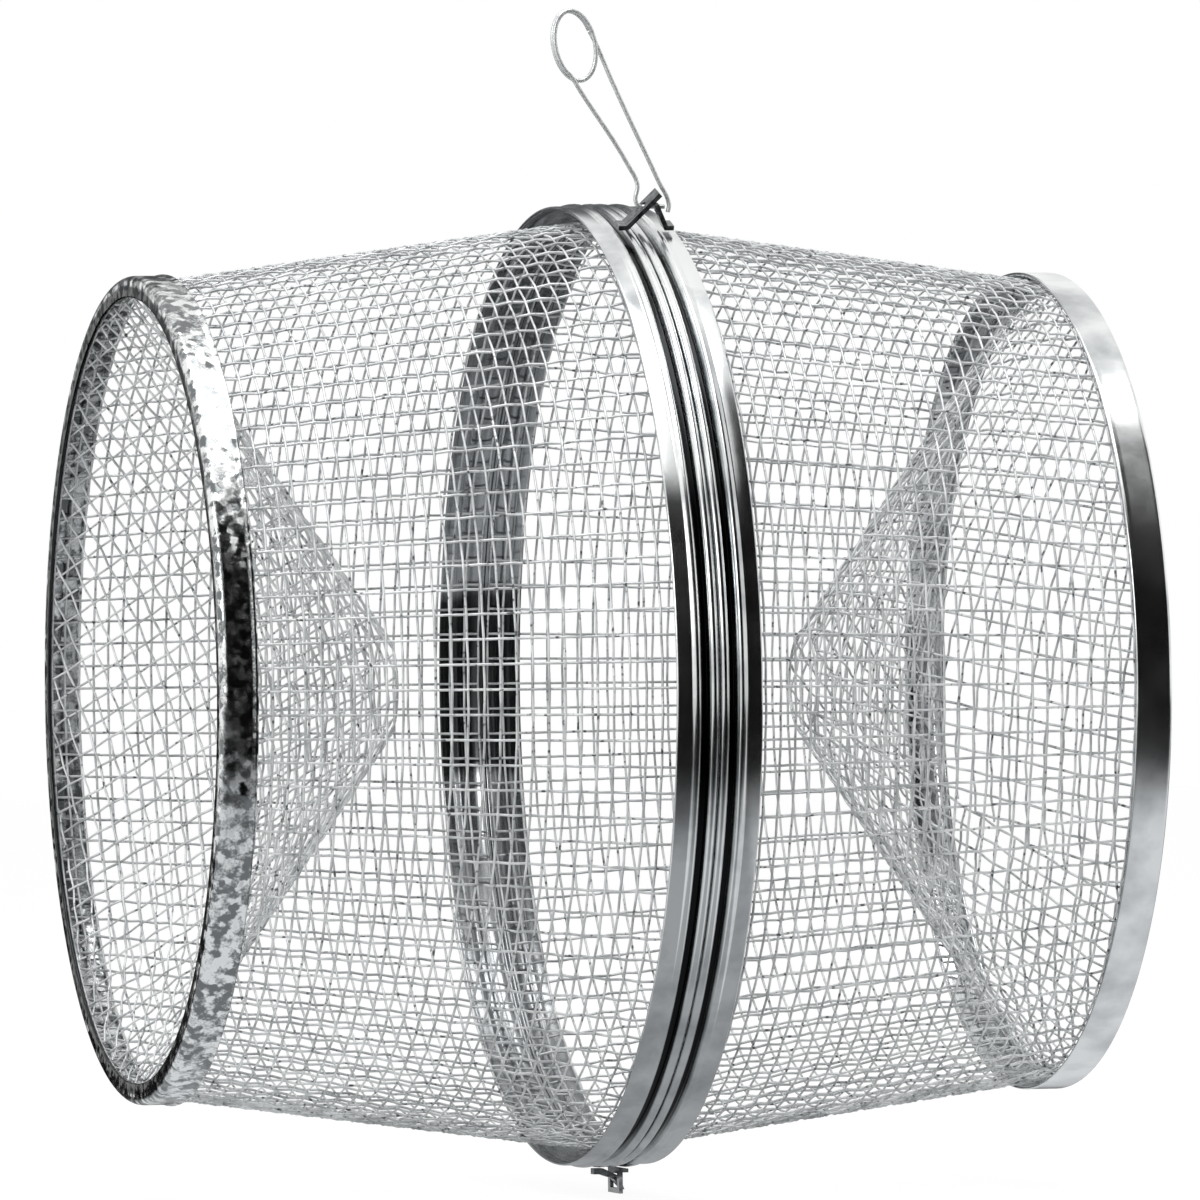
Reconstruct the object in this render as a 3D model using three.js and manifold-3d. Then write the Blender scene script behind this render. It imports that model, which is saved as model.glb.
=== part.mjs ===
// Minnow trap of wire cloth: two halves hook together below, and a wire clip holds them above.
// Lengths are in millimetres. The trap's axis lies along X, the halves meet at X = 0, and +Z is up.
import * as THREE from "three";
import { mergeVertices } from "three/addons/utils/BufferGeometryUtils.js";
import Module from "manifold-3d";

const wasm = await Module();
wasm.setup();

// Overall sizes
const MIDDLE_RADIUS = 114.5;
const END_RADIUS = 98;
const HALF_LENGTH = 113.3;
const HINGE_DROP = 6.2;
const AXIS_HEIGHT = MIDDLE_RADIUS + HINGE_DROP;

// Clearances
const PIECE_GAP = 0.3;
const JOINT_GAP = 0.15;
const WELD_SHARE = 1e-3;

// Middle rims
const RIM_SHEET = 0.7;
const ROLLED_EDGE = 2.3;
const GROOVE_WIDTH = 1.4;
const GROOVE_DEPTH = 2.6;
const BEAD_WIDTH = 2.7;
const FLAT_WIDTH = 3.8;
const FLAT_DEPTH = 0.6;
const LIP_DEPTH = 4.4;
const EDGE_ROUND = 0.6;

// End rims
const END_BAND = 8.8;
const END_SHEET = 0.9;
const END_FLANGE = 5.5;
const END_ROUND = 1.8;

// Wire cloth, each strip standing for a few wires side by side
const CLOTH_THICKNESS = 0.8;
const CLOTH_STRIP = 1.2;
const FUNNEL_DEPTH = 62;
const MOUTH_RADIUS = 12.5;
const SHELL_COLUMNS = 24;
const FUNNEL_COLUMNS = 14;
const CLOTH_ROWS = 5;

// Latch lugs, strips that lean over the joint from each side
const LUG_ANGLE = THREE.MathUtils.degToRad(20.4);
const LUG_SHEET = 1.1;
const LUG_WIDTH = 4.2;
const LUG_FOOT = 1.6;
const LEFT_LUG = { root: -2.6, lean: THREE.MathUtils.degToRad(48), height: 8.7 };
const RIGHT_LUG = { root: 7.6, lean: THREE.MathUtils.degToRad(116), height: 6.2 };
const LUG_HOLE_RADIUS = 1.1;
const LUG_HOLE_HEIGHT = 5.5;
const LUG_SLOT_WIDTH = 2;
const LUG_SLOT_DEPTH = 1.9;

// Hinge hook and eye
const HINGE_SHEET = 0.9;
const HOOK_WIDTH = 3;
const HOOK_SHEET = 1.4;
const HOOK_FOOT = 1.8;
const HOOK_ROOT = 0.5;
const HOOK_BEND = { x: 4.5, drop: 2.2 };
const HOOK_TIP = { x: 5.7, drop: 5.4 };
const HOOK_POINT = 0.6;
const EYE_WIDTH = 10.6;
const EYE_FOOT = 1.4;
const EYE_FACE = 3.4;
const EYE_BAR = 1.2;
const EYE_WINDOW_WIDTH = 6.6;

// Wire clip: its eye, its legs and the hook round the lugs, with rises above the lug's hole
const WIRE_RADIUS = 0.52;
const COIL_X = -14.4;
const COIL_RISE = 37.7;
const COIL_HALF_WIDTH = 4.9;
const COIL_HALF_HEIGHT = 8.3;
const COIL_TILT = THREE.MathUtils.degToRad(12);
const COIL_PITCH = 2;
const COIL_START = THREE.MathUtils.degToRad(235);
const COIL_TURN = THREE.MathUtils.degToRad(575);
const LEG_X = 0.1;
const LEG_BEND = 1;
const LEG_SHOULDER = { x: 0.5, rise: 5.2 };
const LEG_KNEE = { x: -1.4, rise: 9.2 };
const LEG_TOP = { x: -13.5, rise: 27 };
const CROSS_END = 7;
const GATE_THIGH = { x: -5.3, rise: 29.6 };
const GATE_KNEE = { x: 5.6, rise: 6 };
const GATE_SIDE = { x: 8.1, rise: 0.6 };
const GATE_TOE = { x: 7.8, rise: -1.3 };
const GATE_GAP = PIECE_GAP + JOINT_GAP;
const SELF_GAP = 0.4;

// Fineness of the round forms
const RIM_SEGMENTS = 48;
const WIRE_SIDES = 6;
const COIL_STEPS = 38;
const CLIP_STEPS = 2 * COIL_STEPS;
const GATE_STEPS = 22;
const GAP_SAMPLES = 400;
const HOLE_SEGMENTS = 16;
const RIM_FACET_SHARE = Math.cos(Math.PI / RIM_SEGMENTS);
const SHELL_FACET_SHARE = Math.cos(Math.PI / SHELL_COLUMNS);

// Sizes that follow from those above
const RIM_WIDTH = JOINT_GAP + ROLLED_EDGE + GROOVE_WIDTH + BEAD_WIDTH + FLAT_WIDTH;
const RIM_INNER = MIDDLE_RADIUS - GROOVE_DEPTH - RIM_SHEET;
const CLOTH_AT_JOINT = RIM_INNER * RIM_FACET_SHARE - PIECE_GAP;
const CLOTH_AT_BAND = (END_RADIUS - END_SHEET) * RIM_FACET_SHARE - PIECE_GAP;
const CLOTH_START = JOINT_GAP + RIM_SHEET + PIECE_GAP;
const CLOTH_STOP = HALF_LENGTH - END_SHEET - PIECE_GAP;
const CLOTH_TAPER = (CLOTH_AT_JOINT - CLOTH_AT_BAND) / (HALF_LENGTH - END_BAND - CLOTH_START);
const CLOTH_AT_END = CLOTH_AT_JOINT - CLOTH_TAPER * (CLOTH_STOP - CLOTH_START);
const FUNNEL_BASE = (CLOTH_AT_END - CLOTH_THICKNESS) * SHELL_FACET_SHARE - PIECE_GAP;
const SEAT_RADIUS = MIDDLE_RADIUS + PIECE_GAP;
const HOLE_RADIUS_FROM_AXIS = MIDDLE_RADIUS + LUG_HOLE_HEIGHT;
const CLIP_Y = -HOLE_RADIUS_FROM_AXIS * Math.sin(LUG_ANGLE);
const CLIP_Z = HOLE_RADIUS_FROM_AXIS * Math.cos(LUG_ANGLE);

const FINISHES = {
  cloth: { color: 0x8b8d8c, roughness: 0.5, metalness: 0.9 },
  galvanised: { color: 0x9a9c9a, roughness: 0.45, metalness: 0.9 },
  bright: { color: 0xc8cacb, roughness: 0.25, metalness: 1 },
  wire: { color: 0xa9aaa8, roughness: 0.35, metalness: 1 },
};

// A named mesh with its own material.
function piece(name, geometry, finish) {
  const mesh = new THREE.Mesh(geometry, new THREE.MeshStandardMaterial(FINISHES[finish]));
  mesh.name = name;
  return mesh;
}

// Six times the volume that an indexed geometry encloses, negative where its faces point inwards.
function signedVolume(geometry) {
  const position = geometry.getAttribute("position");
  const index = geometry.index.array;
  const [a, b, c] = [new THREE.Vector3(), new THREE.Vector3(), new THREE.Vector3()];
  let sum = 0;
  for (let i = 0; i < index.length; i += 3) {
    a.fromBufferAttribute(position, index[i]);
    b.fromBufferAttribute(position, index[i + 1]);
    c.fromBufferAttribute(position, index[i + 2]);
    sum += a.dot(b.cross(c));
  }
  return sum;
}

// The geometry with shared corners, and its faces turned to point outwards.
function facingOut(geometry) {
  const bare = geometry.clone();
  bare.deleteAttribute("normal");
  bare.deleteAttribute("uv");
  const merged = mergeVertices(bare, JOINT_GAP * WELD_SHARE);
  if (signedVolume(merged) < 0) {
    const index = merged.index.array;
    for (let i = 0; i < index.length; i += 3) {
      [index[i + 1], index[i + 2]] = [index[i + 2], index[i + 1]];
    }
  }
  return merged;
}

// A solid for cutting, from a closed geometry.
function solid(geometry) {
  const merged = facingOut(geometry);
  return new wasm.Manifold(
    new wasm.Mesh({
      numProp: 3,
      vertProperties: merged.getAttribute("position").array,
      triVerts: new Uint32Array(merged.index.array),
    }),
  );
}

// The geometry of a cut solid.
function geometryOf(body) {
  const mesh = body.getMesh();
  const geometry = new THREE.BufferGeometry();
  geometry.setAttribute("position", new THREE.BufferAttribute(mesh.vertProperties, 3));
  geometry.setIndex(new THREE.BufferAttribute(mesh.triVerts, 1));
  return geometry;
}

// A ring round the X axis, from its outline as distances along X and radii.
function ring(outline, side) {
  const points = outline.map(([along, radius]) => new THREE.Vector2(radius, side * along));
  points.push(points[0].clone());
  const geometry = new THREE.LatheGeometry(points, RIM_SEGMENTS);
  geometry.rotateZ(-Math.PI / 2);
  return facingOut(geometry);
}

// The middle rim of one half: a rolled edge at the joint, a groove, a bead and a flat band.
function middleRim(side) {
  const groove = JOINT_GAP + ROLLED_EDGE;
  const bead = groove + GROOVE_WIDTH;
  const flat = bead + BEAD_WIDTH;
  const grooveRadius = MIDDLE_RADIUS - GROOVE_DEPTH;
  const flatRadius = MIDDLE_RADIUS - FLAT_DEPTH;
  return ring(
    [
      [JOINT_GAP, MIDDLE_RADIUS - LIP_DEPTH],
      [JOINT_GAP, MIDDLE_RADIUS - EDGE_ROUND],
      [JOINT_GAP + EDGE_ROUND, MIDDLE_RADIUS],
      [groove - EDGE_ROUND, MIDDLE_RADIUS],
      [groove, grooveRadius],
      [bead, grooveRadius],
      [bead + EDGE_ROUND, MIDDLE_RADIUS],
      [flat - EDGE_ROUND, MIDDLE_RADIUS],
      [flat, flatRadius],
      [RIM_WIDTH, flatRadius],
      [RIM_WIDTH, RIM_INNER],
      [JOINT_GAP + RIM_SHEET, RIM_INNER],
      [JOINT_GAP + RIM_SHEET, MIDDLE_RADIUS - LIP_DEPTH],
    ],
    side,
  );
}

// The end rim of one half: a band round the shell and a flange over the edges of both cloths.
function endRim(side) {
  return ring(
    [
      [HALF_LENGTH - END_BAND, END_RADIUS - END_SHEET],
      [HALF_LENGTH - END_BAND, END_RADIUS],
      [HALF_LENGTH - END_ROUND, END_RADIUS],
      [HALF_LENGTH - END_ROUND * (1 - Math.SQRT1_2), END_RADIUS - END_ROUND * (1 - Math.SQRT1_2)],
      [HALF_LENGTH, END_RADIUS - END_ROUND],
      [HALF_LENGTH, END_RADIUS - END_FLANGE],
      [HALF_LENGTH - END_SHEET, END_RADIUS - END_FLANGE],
      [HALF_LENGTH - END_SHEET, END_RADIUS - END_SHEET],
    ],
    side,
  );
}

// A cone of cloth round the X axis, with a window between each pair of strips both ways.
function clothCone({ start, stop, startRadius, stopRadius, columns, side }) {
  const run = stop - start;
  const stripShare = CLOTH_STRIP / 2 / Math.hypot(run, stopRadius - startRadius);
  const stations = [0];
  for (let row = 0; row < CLOTH_ROWS; row += 1) {
    stations.push(row / CLOTH_ROWS + stripShare, (row + 1) / CLOTH_ROWS - stripShare);
  }
  stations.push(1);
  const corners = [];
  const faces = [];
  const around = 2 * columns;
  const layer = stations.length * around;
  for (const depth of [0, CLOTH_THICKNESS]) {
    for (const share of stations) {
      const radius = startRadius + (stopRadius - startRadius) * share;
      const strip = CLOTH_STRIP / 2 / radius;
      for (let i = 0; i < around; i += 1) {
        const edge = (i + (i % 2)) / 2;
        const angle = (2 * Math.PI * edge) / columns + (i % 2 ? -strip : strip);
        const r = radius - depth;
        corners.push(side * (start + run * share), r * Math.cos(angle), r * Math.sin(angle));
      }
    }
  }
  const at = (inner, station, i) => inner * layer + station * around + (i % around);
  const quad = (a, b, c, d) => faces.push(a, b, c, a, c, d);
  for (let s = 0; s < stations.length - 1; s += 1) {
    for (let i = 0; i < around; i += 1) {
      const outer = [at(0, s, i), at(0, s, i + 1), at(0, s + 1, i + 1), at(0, s + 1, i)];
      const inner = [at(1, s, i), at(1, s, i + 1), at(1, s + 1, i + 1), at(1, s + 1, i)];
      if (s % 2 === 1 && i % 2 === 0) {
        for (let k = 0; k < 4; k += 1) {
          const next = (k + 1) % 4;
          quad(outer[k], outer[next], inner[next], inner[k]);
        }
      } else {
        quad(...outer);
        quad(...inner.reverse());
      }
    }
  }
  const last = stations.length - 1;
  for (let i = 0; i < around; i += 1) {
    quad(at(0, 0, i + 1), at(0, 0, i), at(1, 0, i), at(1, 0, i + 1));
    quad(at(0, last, i), at(0, last, i + 1), at(1, last, i + 1), at(1, last, i));
  }
  const geometry = new THREE.BufferGeometry();
  geometry.setAttribute("position", new THREE.Float32BufferAttribute(corners, 3));
  geometry.setIndex(faces);
  return facingOut(geometry);
}

// The tapering outer cloth of one half.
function shellCloth(side) {
  return clothCone({
    start: CLOTH_START,
    stop: CLOTH_STOP,
    startRadius: CLOTH_AT_JOINT,
    stopRadius: CLOTH_AT_END,
    columns: SHELL_COLUMNS,
    side,
  });
}

// The funnel of one half, from the end rim in to its round mouth.
function funnelCloth(side) {
  return clothCone({
    start: HALF_LENGTH - FUNNEL_DEPTH,
    stop: CLOTH_STOP,
    startRadius: MOUTH_RADIUS,
    stopRadius: FUNNEL_BASE,
    columns: FUNNEL_COLUMNS,
    side,
  });
}

// A bar with the given outline across X and Z, centred on Y = 0.
function bar(outline, width) {
  const shape = new THREE.Shape(outline.map(([x, z]) => new THREE.Vector2(x, z)));
  const geometry = new THREE.ExtrudeGeometry(shape, { depth: width, bevelEnabled: false });
  geometry.translate(0, 0, -width / 2);
  geometry.rotateX(Math.PI / 2);
  return geometry;
}

// A block between two corners.
function block(low, high) {
  const size = high.map((value, i) => value - low[i]);
  const geometry = new THREE.BoxGeometry(...size);
  geometry.translate(...low.map((value, i) => value + size[i] / 2));
  return geometry;
}

// The bent strip of a lug: a foot on the rim, away from the joint, and a leaning tab.
function lugSheet({ root, lean, height }) {
  const away = lean < Math.PI / 2 ? -1 : 1;
  const steep = Math.sin(lean);
  const flat = Math.cos(lean);
  const half = LUG_SHEET / 2 / steep;
  const seat = SEAT_RADIUS;
  const reach = (height - PIECE_GAP) / steep;
  const inner = [root - away * half, seat];
  const innerTip = [inner[0] + reach * flat, seat + reach * steep];
  const outerTip = [innerTip[0] + away * LUG_SHEET * steep, innerTip[1] - away * LUG_SHEET * flat];
  const onFoot = [root + away * (half - LUG_SHEET / Math.abs(Math.tan(lean))), seat + LUG_SHEET];
  return bar(
    [
      inner,
      innerTip,
      outerTip,
      onFoot,
      [root + away * LUG_FOOT, seat + LUG_SHEET],
      [root + away * LUG_FOOT, seat],
    ],
    LUG_WIDTH,
  );
}

// The left lug, with a round hole for the clip's wire.
function leftLug() {
  const hole = new THREE.CylinderGeometry(
    LUG_HOLE_RADIUS,
    LUG_HOLE_RADIUS,
    2 * LEFT_LUG.height,
    HOLE_SEGMENTS,
  );
  hole.rotateZ(Math.PI / 2);
  hole.translate(0, 0, HOLE_RADIUS_FROM_AXIS);
  const geometry = geometryOf(solid(lugSheet(LEFT_LUG)).subtract(solid(hole)));
  geometry.rotateX(LUG_ANGLE);
  return geometry;
}

// The right lug, forked at its tip so that it slides off the closed clip.
function rightLug() {
  const sheet = lugSheet(RIGHT_LUG);
  sheet.rotateX(LUG_ANGLE);
  const slot = block(
    [LEFT_LUG.root, CLIP_Y - LUG_SLOT_WIDTH / 2, CLIP_Z - LUG_SLOT_DEPTH],
    [RIGHT_LUG.root + LUG_FOOT, CLIP_Y + LUG_SLOT_WIDTH / 2, CLIP_Z + RIGHT_LUG.height],
  );
  return geometryOf(solid(sheet).subtract(solid(slot)));
}

// The hinge hook of the left half: a strap across the joint with its point turned down.
function hingeHook() {
  const seat = -SEAT_RADIUS;
  const bend = -MIDDLE_RADIUS - HOOK_BEND.drop;
  const tip = -MIDDLE_RADIUS - HOOK_TIP.drop;
  return facingOut(
    bar(
      [
        [-HOOK_FOOT, seat],
        [HOOK_ROOT, seat],
        [HOOK_BEND.x, bend],
        [HOOK_TIP.x, tip],
        [HOOK_TIP.x - HOOK_POINT, tip],
        [HOOK_BEND.x - HOOK_SHEET, bend - HOOK_SHEET / 2],
        [HOOK_ROOT - HOOK_SHEET / 2, seat - HOOK_SHEET],
        [-HOOK_FOOT, seat - HOOK_SHEET],
      ],
      HOOK_WIDTH,
    ),
  );
}

// The hinge eye of the right half: a foot on the rim and a hanging loop round the hook.
function hingeEye() {
  const seat = -SEAT_RADIUS;
  const bottom = -MIDDLE_RADIUS - HINGE_DROP;
  const back = EYE_FACE + HINGE_SHEET;
  const sheet = bar(
    [
      [EYE_FACE, seat],
      [back + EYE_FOOT, seat],
      [back + EYE_FOOT, seat - HINGE_SHEET],
      [back, seat - HINGE_SHEET],
      [back, bottom],
      [EYE_FACE, bottom],
    ],
    EYE_WIDTH,
  );
  const window = block(
    [EYE_FACE - HINGE_SHEET, -EYE_WINDOW_WIDTH / 2, bottom + EYE_BAR],
    [back + HINGE_SHEET, EYE_WINDOW_WIDTH / 2, seat - HINGE_SHEET - PIECE_GAP],
  );
  return geometryOf(solid(sheet).subtract(solid(window)));
}

// A point of the clip, from its rise above the lug's hole and its offset from the clip's plane.
function clipPoint({ x, rise }, offset) {
  return new THREE.Vector3(x, CLIP_Y + offset, CLIP_Z + rise);
}

// The point of the clip's eye after a share of its turn.
function coilPoint(share) {
  const angle = COIL_START - COIL_TURN * share;
  const across = COIL_HALF_WIDTH * Math.cos(angle);
  const along = COIL_HALF_HEIGHT * Math.sin(angle);
  const offset = (COIL_TURN / (2 * Math.PI)) * COIL_PITCH * (share - 1 / 2);
  const x = COIL_X + across * Math.cos(COIL_TILT) - along * Math.sin(COIL_TILT);
  const rise = COIL_RISE + across * Math.sin(COIL_TILT) + along * Math.cos(COIL_TILT);
  return clipPoint({ x, rise }, offset);
}

// Round wire along a smooth line through the points.
function wire(points, steps) {
  const path = new THREE.CatmullRomCurve3(points, false, "centripetal");
  const outline = Array.from({ length: WIRE_SIDES }, (_, i) => {
    const angle = (2 * Math.PI * i) / WIRE_SIDES;
    return new THREE.Vector2(WIRE_RADIUS * Math.cos(angle), WIRE_RADIUS * Math.sin(angle));
  });
  const options = { steps, bevelEnabled: false, extrudePath: path };
  return facingOut(new THREE.ExtrudeGeometry(new THREE.Shape(outline), options));
}

// The points of the clip's fixed part: across the lugs, up the left leg and round the eye.
function clipPoints() {
  const side = coilPoint(0).y - CLIP_Y;
  const points = [
    clipPoint({ x: CROSS_END, rise: 0 }, 0),
    clipPoint({ x: LEG_X + 2 * LEG_BEND, rise: 0 }, 0),
    clipPoint({ x: LEG_X + LEG_BEND, rise: 0 }, 0),
    clipPoint({ x: LEG_X, rise: LEG_BEND }, 0),
    clipPoint(LEG_SHOULDER, 0),
    clipPoint(LEG_KNEE, 0),
    clipPoint(LEG_TOP, side),
  ];
  for (let i = 0; i <= COIL_STEPS; i += 1) {
    points.push(coilPoint(i / COIL_STEPS));
  }
  return points;
}

// The clip's gate leg, from the end of the eye down to the toe that closes the hook.
function gatePoints() {
  const start = coilPoint(1);
  const onward = start.clone().sub(coilPoint(1 - 1 / COIL_STEPS));
  const first = start.clone().add(onward.setLength(GATE_GAP));
  return [
    first,
    first.clone().add(onward.setLength(4 * WIRE_RADIUS)),
    clipPoint(GATE_THIGH, (start.y - CLIP_Y) / 2),
    clipPoint(GATE_KNEE, 0),
    clipPoint(GATE_SIDE, 0),
    clipPoint(GATE_TOE, 0),
  ];
}

// The least gap between turns of a wire, measured between points along its middle.
function leastSelfGap(points) {
  const path = new THREE.CatmullRomCurve3(points, false, "centripetal");
  const spaced = path.getSpacedPoints(GAP_SAMPLES);
  const step = path.getLength() / GAP_SAMPLES;
  const apart = Math.ceil((6 * WIRE_RADIUS) / step);
  let least = Infinity;
  for (let i = 0; i < spaced.length; i += 1) {
    for (let j = i + apart; j < spaced.length; j += 1) {
      least = Math.min(least, spaced[i].distanceTo(spaced[j]));
    }
  }
  return least - 2 * WIRE_RADIUS;
}

const fixedWire = clipPoints();
const coilGap = leastSelfGap(fixedWire);
console.log(`least gap of the clip's wire to itself: ${coilGap.toFixed(2)} mm`);
if (coilGap < SELF_GAP) {
  throw new Error("the turns of the clip's eye are too close");
}

const trap = new THREE.Group();
trap.position.z = AXIS_HEIGHT;
for (const [half, side] of [["left", -1], ["right", 1]]) {
  const group = new THREE.Group();
  group.add(
    piece(`${half}_shell_cloth`, shellCloth(side), "cloth"),
    piece(`${half}_funnel_cloth`, funnelCloth(side), "cloth"),
    piece(`${half}_middle_rim`, middleRim(side), "bright"),
    piece(`${half}_end_rim`, endRim(side), side < 0 ? "galvanised" : "bright"),
  );
  trap.add(group);
}
trap.add(
  piece("left_latch_lug", leftLug(), "bright"),
  piece("right_latch_lug", rightLug(), "bright"),
  piece("hinge_hook", hingeHook(), "bright"),
  piece("hinge_eye", hingeEye(), "bright"),
  piece("clip_wire", wire(fixedWire, CLIP_STEPS), "wire"),
  piece("clip_gate", wire(gatePoints(), GATE_STEPS), "wire"),
);

const group = new THREE.Group();
group.add(trap);
export default group;
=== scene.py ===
"""Looks of a wire-cloth minnow trap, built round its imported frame."""

import logging
import math
from collections.abc import Iterable, Mapping, Sequence
from dataclasses import dataclass
from enum import Enum

import bmesh
import bpy
from mathutils import Matrix, Vector


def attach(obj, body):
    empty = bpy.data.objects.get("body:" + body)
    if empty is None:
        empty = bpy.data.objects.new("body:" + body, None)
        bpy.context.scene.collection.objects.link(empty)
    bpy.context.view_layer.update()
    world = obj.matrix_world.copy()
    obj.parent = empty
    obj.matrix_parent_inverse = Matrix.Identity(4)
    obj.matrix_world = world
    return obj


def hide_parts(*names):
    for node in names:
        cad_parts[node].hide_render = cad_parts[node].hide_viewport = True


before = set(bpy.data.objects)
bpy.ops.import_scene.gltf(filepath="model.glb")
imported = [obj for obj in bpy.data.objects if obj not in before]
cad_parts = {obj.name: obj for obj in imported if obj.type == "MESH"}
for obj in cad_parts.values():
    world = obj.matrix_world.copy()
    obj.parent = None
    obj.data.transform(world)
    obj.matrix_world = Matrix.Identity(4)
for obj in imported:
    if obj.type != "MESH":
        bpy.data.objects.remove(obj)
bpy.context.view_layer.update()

Socket = bpy.types.NodeSocket
Outline = list[tuple[float, float]]
Route = tuple[list[Vector], bool]

LOG = logging.getLogger("minnow_trap")
MM = 0.001
DEGREE = math.radians(1)
TURN = 2 * math.pi
AXIS_HEIGHT = 120.7 * MM
UP = Vector((0.0, 0.0, 1.0))
WHITE = (1.0, 1.0, 1.0, 1.0)

# The colour inputs of a Mix node, and the settings that make it mix colours.
FIRST, SECOND = 6, 7
COLOURS = {"output": 2, "data_type": "RGBA"}
# The setting that makes a Map Range node start and stop gently.
SMOOTH = {"interpolation_type": "SMOOTHSTEP"}

# The right end rim is bent more sharply than the left one and hardly crowned.
SHARP_CORNER = 0.9 * MM
SLIGHT_CROWN = 0.05 * MM


class Half(Enum):
    """The two halves, each with its sign along X."""

    LEFT = -1
    RIGHT = 1

    @property
    def body(self) -> str:
        """Name of the half's rigid body."""
        return f"{self.name.lower()}_half"

    def node(self, piece: str) -> str:
        """Name of the half's frame node for a piece."""
        return f"{self.name.lower()}_{piece}"


def linear(colour: str, alpha: float = 1.0) -> tuple[float, float, float, float]:
    """Turn an sRGB hex colour to linear values.

    Args:
        colour: six hex digits.
        alpha: opacity.

    Returns:
        The four linear channels.
    """
    parts = [int(colour[i : i + 2], 16) / 255 for i in (0, 2, 4)]
    red, green, blue = (
        c / 12.92 if c <= 0.04045 else ((c + 0.055) / 1.055) ** 2.4 for c in parts
    )
    return red, green, blue, alpha


class Shader:
    """The node tree of a new material or world."""

    def __init__(self, owner: bpy.types.Material | bpy.types.World) -> None:
        """Start with an empty tree.

        Args:
            owner: the new material or world.
        """
        owner.use_nodes = True
        self.owner = owner
        self.tree = owner.node_tree
        self.tree.nodes.clear()

    def add(
        self,
        kind: str,
        links: Mapping[str | int, object] | Sequence[object] = (),
        output: str | int = 0,
        stops: Iterable[tuple[float, str]] = (),
        **settings: object,
    ) -> Socket | None:
        """Add a node with its settings and links.

        Args:
            kind: the node's type name without the ShaderNode prefix.
            links: sockets or constants for the named or numbered inputs, or for the first ones.
            output: name or number of the output that is wanted.
            stops: place and hex colour of both stops, for a colour ramp.
            settings: attributes of the node.

        Returns:
            The wanted output, or None for a node without outputs.
        """
        node = self.tree.nodes.new(f"ShaderNode{kind}")
        for name, value in settings.items():
            setattr(node, name, value)
        named = links.items() if isinstance(links, Mapping) else enumerate(links)
        for name, value in named:
            if isinstance(value, Socket):
                self.tree.links.new(value, node.inputs[name])
            else:
                node.inputs[name].default_value = value
        for number, (place, colour) in enumerate(stops):
            node.color_ramp.elements[number].position = place
            node.color_ramp.elements[number].color = linear(colour)
        return node.outputs[output] if node.outputs else None

    def polar(self) -> tuple[Socket, Socket, Socket]:
        """Measure a point from the trap's axis.

        Returns:
            Distance along the axis, distance from it and angle round it, 0 towards the front.
        """
        along = self.add("SeparateXYZ", (self.add("TexCoord", output="Object"),), "X")
        across, up = along.node.outputs["Y"], along.node.outputs["Z"]
        front = self.add("Math", (across, -1.0), operation="MULTIPLY")
        height = self.add("Math", (up, AXIS_HEIGHT), operation="SUBTRACT")
        angle = self.add("Math", (height, front), operation="ARCTAN2")
        flat = self.add("CombineXYZ", (front, height))
        radius = self.add("VectorMath", (flat,), "Value", operation="LENGTH")
        return along, radius, angle

    def seen(self) -> Socket:
        """Tell what is seen, straight, mirrored or through glass, from what only gives light.

        Returns:
            1 for camera, glossy and transmission rays, 0 for the others.
        """
        camera = self.add("LightPath", output="Is Camera Ray")
        rays = camera.node.outputs
        mirrored = self.add("Math", (camera, rays["Is Glossy Ray"]), operation="MAXIMUM")
        return self.add("Math", (mirrored, rays["Is Transmission Ray"]), operation="MAXIMUM")


@dataclass(frozen=True)
class GalvanisedWire:
    """Woven low-carbon wire, zinc coated after weaving: pale dull grey, darker where it has aged."""

    colour_low: str = "a6a9ab"
    colour_high: str = "e8eaeb"
    colour_speck: str = "55575a"
    patch_mm: float = 7.0
    speck_mm: float = 1.6
    tone_range: tuple[float, float] = (0.3, 0.62)
    speck_range: tuple[float, float] = (0.6, 0.72)
    roughness: tuple[float, float] = (0.58, 0.36)
    metal: float = 0.35

    def build(self) -> bpy.types.Material:
        """Build the material.

        Returns:
            The material.
        """
        shader = Shader(bpy.data.materials.new("galvanised_woven_wire"))
        place = shader.add("TexCoord", output="Object")
        # Zinc lies unevenly on dipped cloth, in soft patches about one mesh across.
        patch = {"Vector": place, "Scale": 1 / (self.patch_mm * MM), "Detail": 4.0}
        patches = shader.add("TexNoise", patch, "Fac")
        tones = zip(self.tone_range, (self.colour_low, self.colour_high))
        colour = shader.add("ValToRGB", (patches,), stops=tones)
        # Small dull specks, which gather at the crossings of real cloth.
        speck = {"Vector": place, "Scale": 1 / (self.speck_mm * MM), "Detail": 2.0}
        specks = shader.add("TexNoise", speck, "Fac")
        dull = shader.add("MapRange", (specks, *self.speck_range), **SMOOTH)
        specked = {0: dull, FIRST: colour, SECOND: linear(self.colour_speck)}
        colour = shader.add("Mix", specked, **COLOURS)
        rough = shader.add("MapRange", (patches, 0.0, 1.0, *self.roughness))
        finish = {"Base Color": colour, "Metallic": self.metal, "Roughness": rough}
        shader.add("OutputMaterial", (shader.add("BsdfPrincipled", finish),))
        return shader.owner


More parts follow.
